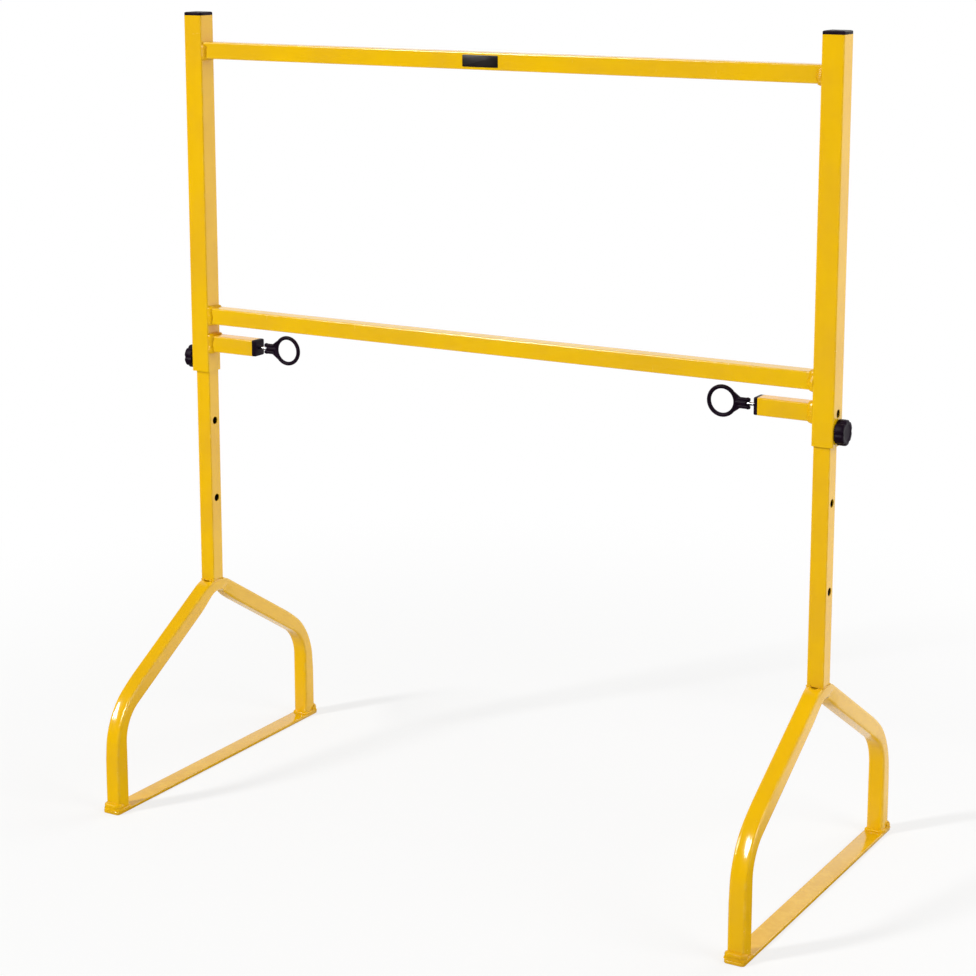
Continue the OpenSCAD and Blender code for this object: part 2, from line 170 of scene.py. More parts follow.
def makeFloor():
    bpy.ops.object.select_all(action="DESELECT")
    bpy.ops.mesh.primitive_plane_add(size=studio["floorSize"], location=(0, 0, 0))
    floor = bpy.context.object
    floor.name = "studioFloor"
    material = bpy.data.materials.new("studioFloor")
    material.use_nodes = True
    tree = material.node_tree
    tree.nodes.clear()
    matte = tree.nodes.new("ShaderNodeBsdfDiffuse")
    tone = studio["floorTone"]
    matte.inputs["Color"].default_value = (tone, tone, tone, 1)
    white = tree.nodes.new("ShaderNodeEmission")
    coords = tree.nodes.new("ShaderNodeTexCoord")
    path = tree.nodes.new("ShaderNodeLightPath")
    glossy = path.outputs["Is Glossy Ray"]
    glow = glossTone(tree, glossy, coords.outputs["Object"], *studio["floorDim"])
    tree.links.new(glow, white.inputs["Strength"])

    # the shadow shows near the feet and fades into plain white further out
    reach = tree.nodes.new("ShaderNodeVectorMath")
    reach.operation = "LENGTH"
    tree.links.new(coords.outputs["Object"], reach.inputs[0])
    near, far = studio["shadowNear"], studio["shadowFar"]
    whiteShare = addRange(tree, reach.outputs["Value"], near, far, 1 - studio["shadowShare"], 1.0)
    plain = addMath(tree, "MULTIPLY", cameraRays(tree, path), whiteShare)
    seen = addMath(tree, "MAXIMUM", plain, glossy)
    showMix(tree, seen, matte, white, "ShaderNodeOutputMaterial")
    floor.data.materials.append(material)


def makeLamps():
    for name, lamp in studio["lamps"].items():
        lampData = bpy.data.lights.new(name, "AREA")
        lampData.shape = "RECTANGLE"
        lampData.size, lampData.size_y = lamp["size"]
        lampData.energy = lamp["power"]
        lampObject = bpy.data.objects.new(name, lampData)
        lampObject.location = lamp["place"]
        aim = Vector(lamp["aim"]) - Vector(lamp["place"])
        lampObject.rotation_euler = aim.to_track_quat("-Z", "Y").to_euler()
        bpy.context.scene.collection.objects.link(lampObject)


makeWorld()
makeFloor()
makeLamps()
bpy.context.scene.view_settings.view_transform = "Standard"
print("studio lit")


# Shared shader groups
skinSet = {
    "peelShare": 0.7,
    "sagScale": 38.0,
    "sagShare": 0.3,
    "driftSpan": (0.3, 0.7),
    "speckleScale": 900.0,
    "speckleSpan": (0.68, 0.78),
    "scratchSpan": (0.62, 0.74),
    "spotSoftness": 0.035,
    "bloomScale": 55.0,
    "bloomSpan": (0.35, 0.75),
    "cornerSpan": (-1.3, -0.4),
}


def newGroup(name, inputs, outputs):
    # an input without a value takes a vector, and all else are plain numbers
    group = bpy.data.node_groups.new(name, "ShaderNodeTree")
    for socketName, value in inputs.items():
        kind = "NodeSocketVector" if value is None else "NodeSocketFloat"
        socket = group.interface.new_socket(socketName, in_out="INPUT", socket_type=kind)
        if value is not None:
            socket.default_value = value
    for socketName in outputs:
        group.interface.new_socket(socketName, in_out="OUTPUT", socket_type="NodeSocketFloat")
    return group, group.nodes.new("NodeGroupInput"), group.nodes.new("NodeGroupOutput")


def addNoise(tree, vector, scale, detail=3.0, roughness=0.5):
    field = tree.nodes.new("ShaderNodeTexNoise")
    field.inputs["Detail"].default_value = detail
    field.inputs["Roughness"].default_value = roughness
    tree.links.new(vector, field.inputs["Vector"])
    if isinstance(scale, (int, float)):
        field.inputs["Scale"].default_value = scale
    else:
        tree.links.new(scale, field.inputs["Scale"])
    return field.outputs["Fac"]


def addMixColour(tree, factor, first, second):
    mix = tree.nodes.new("ShaderNodeMix")
    mix.data_type = "RGBA"
    tree.links.new(factor, mix.inputs["Factor"])
    for socket, value in ((mix.inputs[6], first), (mix.inputs[7], second)):
        if isinstance(value, tuple):
            socket.default_value = value
        else:
            tree.links.new(value, socket)
    return mix.outputs[2]


def makePaintSkin():
    # orange peel of sprayed powder, with slow drifts of tone
    inputs = {"Vector": None, "Peel Scale": 420.0, "Drift Scale": 9.0}
    group, given, out = newGroup("paintSkin", inputs, ["Height", "Drift", "Speckle"])
    vector = given.outputs["Vector"]
    peel = addNoise(group, vector, given.outputs["Peel Scale"], detail=2.0, roughness=0.45)
    sag = addNoise(group, vector, skinSet["sagScale"], detail=2.0, roughness=0.4)
    sag = addMath(group, "MULTIPLY", sag, skinSet["sagShare"])
    height = addMath(group, "ADD", addMath(group, "MULTIPLY", peel, skinSet["peelShare"]), sag)
    group.links.new(height, out.inputs["Height"])
    drift = addNoise(group, vector, given.outputs["Drift Scale"], detail=4.0, roughness=0.55)
    group.links.new(addRange(group, drift, *skinSet["driftSpan"]), out.inputs["Drift"])
    speckle = addNoise(group, vector, skinSet["speckleScale"], detail=2.0, roughness=0.6)
    group.links.new(addRange(group, speckle, *skinSet["speckleSpan"]), out.inputs["Speckle"])
    return group


def makeScuffMarks():
    # fine scratches across one direction and small worn spots
    inputs = {"Vector": None, "Stretch": None, "Spot Scale": 160.0, "Spots": 0.73}
    group, given, out = newGroup("scuffMarks", inputs, ["Scratch", "Spot"])
    vector = given.outputs["Vector"]
    stretch = group.nodes.new("ShaderNodeVectorMath")
    stretch.operation = "MULTIPLY"
    group.links.new(vector, stretch.inputs[0])
    group.links.new(given.outputs["Stretch"], stretch.inputs[1])
    scratch = addNoise(group, stretch.outputs[0], scale=1.0, detail=3.0, roughness=0.6)
    group.links.new(addRange(group, scratch, *skinSet["scratchSpan"]), out.inputs["Scratch"])
    field = addNoise(group, vector, given.outputs["Spot Scale"], detail=4.0, roughness=0.65)
    over = addMath(group, "SUBTRACT", field, given.outputs["Spots"])
    group.links.new(addRange(group, over, 0.0, skinSet["spotSoftness"]), out.inputs["Spot"])
    return group


def makeMouldGrain():
    # fine spark grain of moulded plastic
    inputs = {"Vector": None, "Grain Scale": 1500.0}
    group, given, out = newGroup("mouldGrain", inputs, ["Height", "Bloom"])
    vector = given.outputs["Vector"]
    grain = addNoise(group, vector, given.outputs["Grain Scale"], detail=2.0, roughness=0.5)
    group.links.new(grain, out.inputs["Height"])
    bloom = addNoise(group, vector, skinSet["bloomScale"], detail=4.0, roughness=0.6)
    group.links.new(addRange(group, bloom, *skinSet["bloomSpan"]), out.inputs["Bloom"])
    return group


def makeTubeWall():
    # from the distances to a square tube's axis: the inside of the tube, and the bend of its corners
    inputs = {"Across": 0.0, "Up": 0.0, "Half": 0.016, "Inner": 0.0145, "Corner": 0.0025}
    group, given, out = newGroup("tubeWall", inputs, ["Bore", "Edge"])
    across, up = given.outputs["Across"], given.outputs["Up"]
    wide = addMath(group, "MAXIMUM", across, up)
    group.links.new(addMath(group, "LESS_THAN", wide, given.outputs["Inner"]), out.inputs["Bore"])
    narrow = addMath(group, "MINIMUM", across, up)
    over = addMath(group, "SUBTRACT", narrow, given.outputs["Half"])
    share = addMath(group, "DIVIDE", over, given.outputs["Corner"])
    group.links.new(addRange(group, share, *skinSet["cornerSpan"]), out.inputs["Edge"])
    return group


paintSkin = makePaintSkin()
scuffMarks = makeScuffMarks()
mouldGrain = makeMouldGrain()
tubeWall = makeTubeWall()


def linear(red, green, blue):
    # photograph values 0 to 255 as scene colour
    def one(value):
        share = value / 255
        return share / 12.92 if share <= 0.04045 else ((share + 0.055) / 1.055) ** 2.4
    return (one(red), one(green), one(blue), 1)


def startMaterial(name):
    material = bpy.data.materials.new(name)
    material.use_nodes = True
    tree = material.node_tree
    shader = tree.nodes["Principled BSDF"]
    coords = tree.nodes.new("ShaderNodeTexCoord")
    return material, tree, shader, coords.outputs["Object"]


def placeGroup(tree, group, vector, **values):
    node = tree.nodes.new("ShaderNodeGroup")
    node.node_tree = group
    tree.links.new(vector, node.inputs["Vector"])
    for name, value in values.items():
        node.inputs[name].default_value = value
    return node


def addBump(tree, shader, height, strength, distance):
    bump = tree.nodes.new("ShaderNodeBump")
    bump.inputs["Strength"].default_value = strength
    bump.inputs["Distance"].default_value = distance
    tree.links.new(height, bump.inputs["Height"])
    tree.links.new(bump.outputs["Normal"], shader.inputs["Normal"])


tubeSet = {"wall": 0.0015, "corner": 0.0025, "slack": 0.0001}


def tubeMasks(tree, vector, node):
    # inside and corners of the square tubes that lie like this one, on both sides of the trestle
    low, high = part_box(node)
    middle = (low + high) / 2
    half = (high.y - low.y) / 2
    split = tree.nodes.new("ShaderNodeSeparateXYZ")
    tree.links.new(vector, split.inputs[0])
    if high.z - low.z > high.x - low.x:
        across = addMath(tree, "SUBTRACT", addMath(tree, "ABSOLUTE", split.outputs["X"], 0.0), middle.x)
    else:
        across = addMath(tree, "SUBTRACT", split.outputs["Z"], middle.z)
    walls = tree.nodes.new("ShaderNodeGroup")
    walls.node_tree = tubeWall
    tree.links.new(addMath(tree, "ABSOLUTE", across, 0.0), walls.inputs["Across"])
    tree.links.new(addMath(tree, "ABSOLUTE", split.outputs["Y"], 0.0), walls.inputs["Up"])
    walls.inputs["Half"].default_value = half
    walls.inputs["Inner"].default_value = half - tubeSet["wall"] + tubeSet["slack"]
    walls.inputs["Corner"].default_value = tubeSet["corner"]
    return walls.outputs["Bore"], walls.outputs["Edge"]


# Yellow paint: what all of it has in common, then what differs from piece to piece
paintSet = {
    "fleckTone": linear(196, 140, 4),
    "fleckShare": 0.10,
    "edgeTurn": (0.4, 0.9),
    "patchScale": 70.0,
    "patchSpan": (0.4, 0.7),
    # paler along the corners: thinner paint, and a painted highlight
    "paleEdgeHighlightTone": linear(246, 206, 70),
    "paleEdgeHighlightShare": 0.30,
    "thinRough": 0.08,
    "scratchRough": 0.10,
    # the inside of the tubes: bare steel, darkened further as painted shade
    "bareBoreShadeTone": linear(38, 32, 27),
    "boreRough": 0.65,
    "rough": (0.13, 0.20),
    "ior": 1.7,
    "bump": (0.25, 0.0002),
    "tube": None,
}
paints = {
    "postPaint": {"light": linear(241, 190, 1), "deep": linear(233, 180, 1),
                  "peel": 420, "scuff": (30, 30, 220), "tube": "right_post"},
    "topRailPaint": {"light": linear(240, 190, 1), "deep": linear(232, 181, 1),
                     "peel": 420, "scuff": (220, 30, 30), "tube": "top_rail"},
    "lowRailPaint": {"light": linear(240, 190, 1), "deep": linear(232, 181, 1),
                     "peel": 420, "scuff": (220, 30, 30), "tube": "lower_rail"},
    "housingPaint": {"light": linear(239, 188, 1), "deep": linear(230, 179, 1),
                     "peel": 440, "scuff": (200, 40, 40), "tube": "right_pin_housing"},
    # the leg and hoop yellows are set a little lighter than the frame's, as painted light
    "legPaint": {"light": linear(242, 190, 2), "deep": linear(234, 180, 2),
                 "peel": 400, "scuff": (260, 260, 14), "tube": "right_leg"},
    "hoopPaint": {"light": linear(242, 189, 3), "deep": linear(234, 180, 3),
                  "peel": 380, "scuff": (60, 160, 160)},
    # the foot bars: a darker copy of the hoop yellow, as painted shade
    "shadedBarPaint": {"light": linear(224, 172, 3), "deep": linear(216, 164, 3),
                 "peel": 380, "scuff": (160, 60, 160), "ior": 1.6},
    "weldPaint": {"light": linear(234, 181, 3), "deep": linear(217, 161, 2),
                  "peel": 520, "scuff": (180, 180, 180), "rough": (0.22, 0.32), "ior": 1.36},
}


def makePaint(name):
    values = {**paintSet, **paints[name]}
    material, tree, shader, vector = startMaterial(name)
    skin = placeGroup(tree, paintSkin, vector, **{"Peel Scale": values["peel"]})
    marks = placeGroup(tree, scuffMarks, vector, Stretch=values["scuff"])
    tone = addMixColour(tree, skin.outputs["Drift"], values["light"], values["deep"])
    flecks = addMath(tree, "MULTIPLY", skin.outputs["Speckle"], values["fleckShare"])
    tone = addMixColour(tree, flecks, tone, values["fleckTone"])
    if values["tube"]:
        bore, edge = tubeMasks(tree, vector, values["tube"])
    else:
        turn = tree.nodes.new("ShaderNodeAttribute")
        turn.attribute_name = "edgeShare"
        bore, edge = None, addRange(tree, turn.outputs["Fac"], *values["edgeTurn"])

    # the corners turn paler in patches: partly thinner paint, and partly a painted highlight along the
    # corners
    patches = addNoise(tree, vector, values["patchScale"], detail=4.0, roughness=0.6)
    thinAndHighlit = addMath(tree, "MULTIPLY", edge, addRange(tree, patches, *values["patchSpan"]))
    edgeHighlightShare = addMath(tree, "MULTIPLY", thinAndHighlit, values["paleEdgeHighlightShare"])
    tone = addMixColour(tree, edgeHighlightShare, tone, values["paleEdgeHighlightTone"])
    rough = addRange(tree, skin.outputs["Drift"], 0.0, 1.0, *values["rough"])
    scratched = addMath(tree, "MULTIPLY", marks.outputs["Scratch"], values["scratchRough"])
    rough = addMath(tree, "ADD", rough, scratched)
    rough = addMath(tree, "ADD", rough, addMath(tree, "MULTIPLY", thinAndHighlit, values["thinRough"]))
    # inside the tubes the yellow gives way to bare steel, darkened further as painted shade
    if bore:
        tone = addMixColour(tree, bore, tone, values["bareBoreShadeTone"])
        rough = addMath(tree, "MAXIMUM", rough, addMath(tree, "MULTIPLY", bore, values["boreRough"]))
    tree.links.new(tone, shader.inputs["Base Color"])
    tree.links.new(rough, shader.inputs["Roughness"])
    shader.inputs["IOR"].default_value = values["ior"]
    addBump(tree, shader, skin.outputs["Height"], *values["bump"])
    return material


# Moulded plastics: a deep tone with a paler bloom over it
plastics = {
    "blackPlastic": {"deep": linear(20, 9, 22), "bloom": linear(32, 18, 36), "grain": 1500.0,
                     "rough": (0.38, 0.52), "specular": 0.07, "bump": (0.2, 0.0001)},
    "plateFilm": {"deep": linear(26, 20, 20), "bloom": linear(36, 28, 27), "grain": 2600.0,
                  "rough": (0.3, 0.4), "specular": 0.5, "bump": (0.1, 0.00005)},
    "greyNylon": {"deep": linear(120, 122, 126), "bloom": linear(100, 102, 106), "grain": 1500.0,
                  "rough": 0.5, "specular": 0.5, "bump": (0.15, 0.0001)},
}


def makePlastic(name):
    values = plastics[name]
    material, tree, shader, vector = startMaterial(name)
    grain = placeGroup(tree, mouldGrain, vector, **{"Grain Scale": values["grain"]})
    bloom = grain.outputs["Bloom"]
    tree.links.new(addMixColour(tree, bloom, values["deep"], values["bloom"]), shader.inputs["Base Color"])
    if isinstance(values["rough"], tuple):
        tree.links.new(addRange(tree, bloom, 0.0, 1.0, *values["rough"]), shader.inputs["Roughness"])
    else:
        shader.inputs["Roughness"].default_value = values["rough"]
    shader.inputs["Specular IOR Level"].default_value = values["specular"]
    addBump(tree, shader, grain.outputs["Height"], *values["bump"])
    return material


zincSet = {
    "bright": linear(226, 227, 231),
    "dull": linear(182, 182, 188),
    "draw": (40.0, 900.0, 900.0),
    "spotScale": 240.0,
    "rough": (0.36, 0.5),
}


def makeZinc():
    material, tree, shader, vector = startMaterial("brightZinc")
    spots = {"Spot Scale": zincSet["spotScale"]}
    marks = placeGroup(tree, scuffMarks, vector, Stretch=zincSet["draw"], **spots)
    tone = addMixColour(tree, marks.outputs["Spot"], zincSet["bright"], zincSet["dull"])
    tree.links.new(tone, shader.inputs["Base Color"])
    shader.inputs["Metallic"].default_value = 1.0
    rough = addRange(tree, marks.outputs["Scratch"], 0.0, 1.0, *zincSet["rough"])
    tree.links.new(rough, shader.inputs["Roughness"])
    return material


postPaint, topRailPaint, lowRailPaint, housingPaint, legPaint, hoopPaint, shadedBarPaint, weldPaint = (
    makePaint(name) for name in paints
)
blackPlastic, plateFilm, greyNylon = (makePlastic(name) for name in plastics)
brightZinc = makeZinc()
print("materials made:", len(bpy.data.materials))


# Modelling steps that the pieces share
mergeGap = 1e-6
pickSet = {"along": 0.9, "across": 0.1, "facing": 0.99}


def clearSelection():
    if bpy.context.mode != "OBJECT":
        bpy.ops.object.mode_set(mode="OBJECT")
    bpy.ops.object.select_all(action="DESELECT")


def makeActive(piece):
    clearSelection()
    piece.select_set(True)
    bpy.context.view_layer.objects.active = piece


def openPiece(name):
    # the new primitive, with its place put into its mesh, opened for editing
    piece = bpy.context.object
    piece.name = name
    bpy.ops.object.transform_apply(location=True, rotation=True, scale=True)
    bpy.ops.object.mode_set(mode="EDIT")
    return piece


def reopenPiece(piece):
    makeActive(piece)
    bpy.ops.object.mode_set(mode="EDIT")


def pick(piece, kind, test):
    # select the points, edges or faces that pass a test on their place or normal
    bpy.ops.mesh.select_mode(type=kind)
    bpy.ops.mesh.select_all(action="DESELECT")
    mesh = bmesh.from_edit_mesh(piece.data)
    found = {"VERT": mesh.verts, "EDGE": mesh.edges, "FACE": mesh.faces}[kind]
    for part in found:
        if test(part):
            part.select_set(True)
    mesh.select_flush_mode()
    bmesh.update_edit_mesh(piece.data)


def midOf(edge):
    return (edge.verts[0].co + edge.verts[1].co) / 2


def wayOf(edge):
    return (edge.verts[1].co - edge.verts[0].co).normalized()


def runsAlong(edge, axis):
    return abs(getattr(wayOf(edge), axis)) > pickSet["along"]


def runsAcross(edge, axis):
    return abs(getattr(wayOf(edge), axis)) < pickSet["across"]


def looksAlong(face, axis, way=1):
    return way * getattr(face.normal, axis) > pickSet["facing"]


def drawOn(way, steps=1):
    # draw what is selected along a straight
    for number in range(steps):
        bpy.ops.mesh.extrude_region_move(TRANSFORM_OT_translate={"value": Vector(way) / steps})


def moveSoftly(way, reach):
    # move what is selected, and what is near it a little less
    bpy.ops.transform.translate(
        value=way, use_proportional_edit=True, proportional_edit_falloff="SMOOTH", proportional_size=reach,
    )


def closePiece():
    bpy.ops.mesh.select_all(action="SELECT")
    bpy.ops.mesh.remove_doubles(threshold=mergeGap)
    bpy.ops.mesh.normals_make_consistent(inside=False)
    bpy.ops.object.mode_set(mode="OBJECT")


def applyStep(piece, kind, **values):
    makeActive(piece)
    step = piece.modifiers.new(kind.lower(), kind)
    for name, value in values.items():
        setattr(step, name, value)
    bpy.ops.object.modifier_apply(modifier=step.name)


def joinPieces(name, pieces):
    clearSelection()
    for piece in pieces:
        piece.select_set(True)
    bpy.context.view_layer.objects.active = pieces[0]
    bpy.ops.object.join()
    pieces[0].name = name
    return pieces[0]


def runTogether(piece, values):
    # joined parts become one skin with soft hollows between them
    applyStep(piece, "REMESH", mode="VOXEL", voxel_size=values["voxel"])
    applyStep(piece, "SMOOTH", iterations=values["smoothing"])
    return piece


def cutAway(piece, cutter):
    applyStep(piece, "BOOLEAN", operation="DIFFERENCE", solver="EXACT", object=cutter)
    bpy.data.objects.remove(cutter)


def movedCopy(piece, name, move):
    twin = piece.copy()
    twin.data = piece.data.copy()
    twin.name = name
    twin.data.transform(move)
    bpy.context.scene.collection.objects.link(twin)
    return twin


def turnedCopy(piece, name):
    # the same piece turned half round about the middle of the trestle
    return movedCopy(piece, name, Matrix.Rotation(math.pi, 4, "Z"))


def markEdges(piece, full=20):
    # how far the surface turns at each point, kept on the mesh for its paint
    mesh = bmesh.new()
    mesh.from_mesh(piece.data)
    turns = [max([edge.calc_face_angle(0) for edge in point.link_edges], default=0) for point in mesh.verts]
    mesh.free()
    share = piece.data.attributes.new("edgeShare", "FLOAT", "POINT")
    share.data.foreach_set("value", [min(turn / math.radians(full), 1) for turn in turns])


def makeFlat(name, node, values, thickness, onRim):
    # a flat piece with rounded corners and a rolled rim
    low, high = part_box(node)
    clearSelection()
    bpy.ops.mesh.primitive_cube_add(size=1, location=(low + high) / 2, scale=high - low)
    flat = openPiece(name)
    pick(flat, "EDGE", lambda edge: runsAlong(edge, thickness))
    bpy.ops.mesh.bevel(offset=values["corner"], segments=values["cornerSteps"])
    pick(flat, "EDGE", onRim)
    bpy.ops.mesh.bevel(offset=values["edge"], segments=values["edgeSteps"])
    closePiece()
    return flat


def finishPiece(piece, material, slotName, *replaced, angle=35):
    makeActive(piece)
    bpy.ops.object.shade_smooth_by_angle(angle=math.radians(angle))
    piece.data.materials.clear()
    piece.data.materials.append(material)
    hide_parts(*replaced)


def settle(piece, body, material, slotName, *replaced, angle=35):
    finishPiece(piece, material, slotName, *replaced, angle=angle)
    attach(piece, body)


def settlePair(piece, stem, body, material, slotName, node, angle=35):
    # the right-hand piece and its turned twin on the left
    twin = turnedCopy(piece, "left" + stem)
    piece.name = "right" + stem
    for side, made in (("right", piece), ("left", twin)):
        settle(made, body.format(side), material, slotName, f"{side}_{node}", angle=angle)


# Foot hoops: square tube drawn and bent along its route, crushed a little under the crown
hoopSet = {
    "corner": 0.0035,
    "cornerSteps": 4,
    "sideCuts": 5,
    "uprightSteps": 4,
    "slope": math.radians(31),
    "slopeSteps": 14,
    "shoulderRadius": 0.075,
    "shoulderSteps": 18,
    "crownRadius": 0.050,
    "crownSteps": 24,
    "sink": 0.0009,
    "sinkSkin": 0.0025,
    "sinkWidths": ((0.7, 0.56), (0.4, 0.33), (0.1, 0.11)),
    "sinkSpans": (0.95, 0.75, 0.55),
    "bulge": {"y": 0, "level": 0.40, "move": 0.0013, "reach": 0.030},
    "tuck": {"y": 0.026, "level": 0.10, "move": -0.0040, "reach": 0.013},
    "markLevel": 0.14,
    "markSkin": 0.004,
    "markSpan": 0.005,
    "flatDepth": 0.0055,
    "flatReach": 0.075,
    "flatAngle": 0.07,
    "flatLayers": [(0.20 + 0.12 * step, 0.32 + 0.12 * step, 0.20 + 0.14 * step) for step in range(5)],
    "flatSkin": (0.80, 1.10, 1.0),
    "crush": {"depth": 0.0062, "reach": 0.048, "top": 0.80, "widthShare": 2},
    "dent": {"depth": 0.0020, "reach": 0.030, "top": 0.08, "widthShare": 1 / 3},
    "crownSpan": 0.1,
    "pressSpan": 0.003,
    "gap": (0.0055, 0.0070, 0.0024),
    "gapSteps": (24, 12),
}


def planHoop():
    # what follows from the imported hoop's box: the tube's middle line, and where it bends
    low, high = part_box("right_foot_hoop")
    plan = SimpleNamespace(side=high.x - low.x, midX=(low.x + high.x) / 2, foot=low.z)
    slope, shoulder, crown = hoopSet["slope"], hoopSet["shoulderRadius"], hoopSet["crownRadius"]
    plan.turn = math.pi / 2 - slope
    plan.frontY = low.y + plan.side / 2
    plan.crownZ = high.z - plan.side / 2 - crown
    plan.shoulderY = plan.frontY + shoulder
    run = (-crown * math.sin(slope) - plan.shoulderY + shoulder * math.cos(plan.turn)) / math.cos(slope)
    plan.rise = Vector((0, run * math.cos(slope), run * math.sin(slope)))
    plan.shoulderZ = plan.crownZ + crown * math.cos(slope) - plan.rise.z - shoulder * math.sin(plan.turn)
    return plan


def drawHoop(plan):
    clearSelection()
    bpy.ops.mesh.primitive_plane_add(size=plan.side, location=(plan.midX, plan.frontY, plan.foot))
    hoop = openPiece("rightFootHoop")
    bpy.ops.mesh.bevel(offset=hoopSet["corner"], segments=hoopSet["cornerSteps"], affect="VERTICES")
    bpy.ops.mesh.delete(type="ONLY_FACE")
    pick(hoop, "EDGE", lambda edge: edge.calc_length() > plan.side / 2)
    bpy.ops.mesh.subdivide(number_cuts=hoopSet["sideCuts"])
    bpy.ops.mesh.select_all(action="SELECT")

    def bendOn(angle, y, z, steps):
        bpy.ops.mesh.spin(steps=steps, angle=angle, center=(plan.midX, y, z), axis=(1, 0, 0))

    upright = Vector((0, 0, plan.shoulderZ - plan.foot))
    drawOn(upright, hoopSet["uprightSteps"])
    bendOn(plan.turn, plan.shoulderY, plan.shoulderZ, hoopSet["shoulderSteps"])
    drawOn(plan.rise, hoopSet["slopeSteps"])
    bendOn(2 * hoopSet["slope"], 0, plan.crownZ, hoopSet["crownSteps"])
    drawOn((0, plan.rise.y, -plan.rise.z), hoopSet["slopeSteps"])
    bendOn(plan.turn, -plan.shoulderY, plan.shoulderZ, hoopSet["shoulderSteps"])
    drawOn(-upright, hoopSet["uprightSteps"])
    bpy.ops.mesh.select_all(action="SELECT")
    bpy.ops.mesh.fill_holes(sides=0)
    return hoop


def sinkShoulders(hoop, plan):
    # the outer wall of a shoulder sinks in a little, most along its middle and half-way round
    half = plan.side / 2 - hoopSet["corner"]
    outer = hoopSet["shoulderRadius"] + plan.side / 2
    for way in (-1, 1):
        centre = Vector((plan.midX, way * -plan.shoulderY, plan.shoulderZ))
        for width, share in hoopSet["sinkWidths"]:
            for span in hoopSet["sinkSpans"]:
                def onOuterWall(point):
                    place = point.co - centre
                    angle = math.atan2(place.z, way * place.y)
                    return (abs(angle - plan.turn / 2) < span * plan.turn / 2 and abs(place.x) < width * half
                            and math.hypot(place.y, place.z) > outer - hoopSet["sinkSkin"])
                pick(hoop, "VERT", onOuterWall)
                scale = 1 - hoopSet["sink"] * share / len(hoopSet["sinkSpans"]) / outer
                bpy.ops.transform.resize(value=(1, scale, scale), center_override=centre)


def crownLevel(point, plan):
    # share of the tube's height, from its inner wall to its outer wall, round the crown and down the slopes
    slope = hoopSet["slope"]
    y, z = abs(point.co.y), point.co.z - plan.crownZ
    onBend = math.atan2(y, z) < slope
    reach = math.hypot(y, z) if onBend else y * math.sin(slope) + z * math.cos(slope)
    return (reach - hoopSet["crownRadius"] + plan.side / 2) / plan.side


def shapeSides(hoop, plan):
    # the side walls bulge at the crown, and crease behind the bulge
    for mark in (hoopSet["bulge"], hoopSet["tuck"]):
        for wall in (-1, 1):
            def onMark(point):
                return (abs(crownLevel(point, plan) - mark["level"]) < hoopSet["markLevel"]
                        and (point.co.x - plan.midX) * wall > plan.side / 2 - hoopSet["markSkin"]
                        and abs(point.co.y - mark["y"]) < hoopSet["markSpan"])
            pick(hoop, "VERT", onMark)
            moveSoftly((wall * mark["move"], 0, 0), mark["reach"])


def flattenShoulders(hoop, plan):
    # the bender flattens the outside of the shoulders, less and less towards the inner wall
    slope, shoulder, turn = hoopSet["slope"], hoopSet["shoulderRadius"], plan.turn
    for way in (-1, 1):
        centre = Vector((plan.midX, way * -plan.shoulderY, plan.shoulderZ))
        outward = Vector((0, way * math.cos(turn / 2), math.sin(turn / 2)))

        def levelAndAngle(point):
            place = point.co - centre
            out, up = way * place.y, place.z
            if up < 0:
                reach = out
            elif out < math.tan(slope) * up:
                reach = out * math.sin(slope) + up * math.cos(slope)
            else:
                reach = math.hypot(out, up)
            return (reach - shoulder + plan.side / 2) / plan.side, math.atan2(up, out)

        for bottom, top, share in hoopSet["flatLayers"] + [hoopSet["flatSkin"]]:
            def offLayer(point):
                return point.co.y * way < 0 or not bottom < levelAndAngle(point)[0] < top

            def onMiddle(point):
                return not point.hide and abs(levelAndAngle(point)[1] - turn / 2) < hoopSet["flatAngle"]

            pick(hoop, "VERT", offLayer)
            bpy.ops.mesh.hide()
            pick(hoop, "VERT", onMiddle)
            moveSoftly(outward * -hoopSet["flatDepth"] * share, hoopSet["flatReach"])
            bpy.ops.mesh.reveal()


def crushCrown(hoop, plan):
    # the bender presses the inside of the crown up, most in the middle of the wall
    span = hoopSet["pressSpan"]
    for press in (hoopSet["crush"], hoopSet["dent"]):
        half = press["widthShare"] * plan.side / 2

        def offCrown(point):
            return (crownLevel(point, plan) >= press["top"] or abs(point.co.y) > hoopSet["crownSpan"]
                    or abs(point.co.x - plan.midX) >= half + mergeGap)

        pick(hoop, "VERT", offCrown)
        bpy.ops.mesh.hide()
        points = bmesh.from_edit_mesh(hoop.data).verts
        lowest = min(point.co.z for point in points if abs(point.co.y) < span)

        def atBottom(point):
            return not point.hide and abs(point.co.y) < span and point.co.z < lowest + span

        pick(hoop, "VERT", atBottom)
        moveSoftly((0, 0, press["depth"]), press["reach"])
        bpy.ops.mesh.reveal()


def gapSeam(hoop, plan):
    # the seam under the leg's front and back isn't filled all along
    outer = hoopSet["crownRadius"] + plan.side / 2
    segments, rings = hoopSet["gapSteps"]
    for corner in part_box("right_leg"):
        z = plan.crownZ + math.sqrt(outer ** 2 - corner.y ** 2)
        clearSelection()
        bpy.ops.mesh.primitive_uv_sphere_add(
            segments=segments, ring_count=rings, radius=1, location=(plan.midX, corner.y, z),
            scale=hoopSet["gap"],
        )
        cutAway(hoop, bpy.context.object)


def makeHoop():
    plan = planHoop()
    hoop = drawHoop(plan)
    sinkShoulders(hoop, plan)
    shapeSides(hoop, plan)
    flattenShoulders(hoop, plan)
    crushCrown(hoop, plan)
    closePiece()
    gapSeam(hoop, plan)
    return hoop


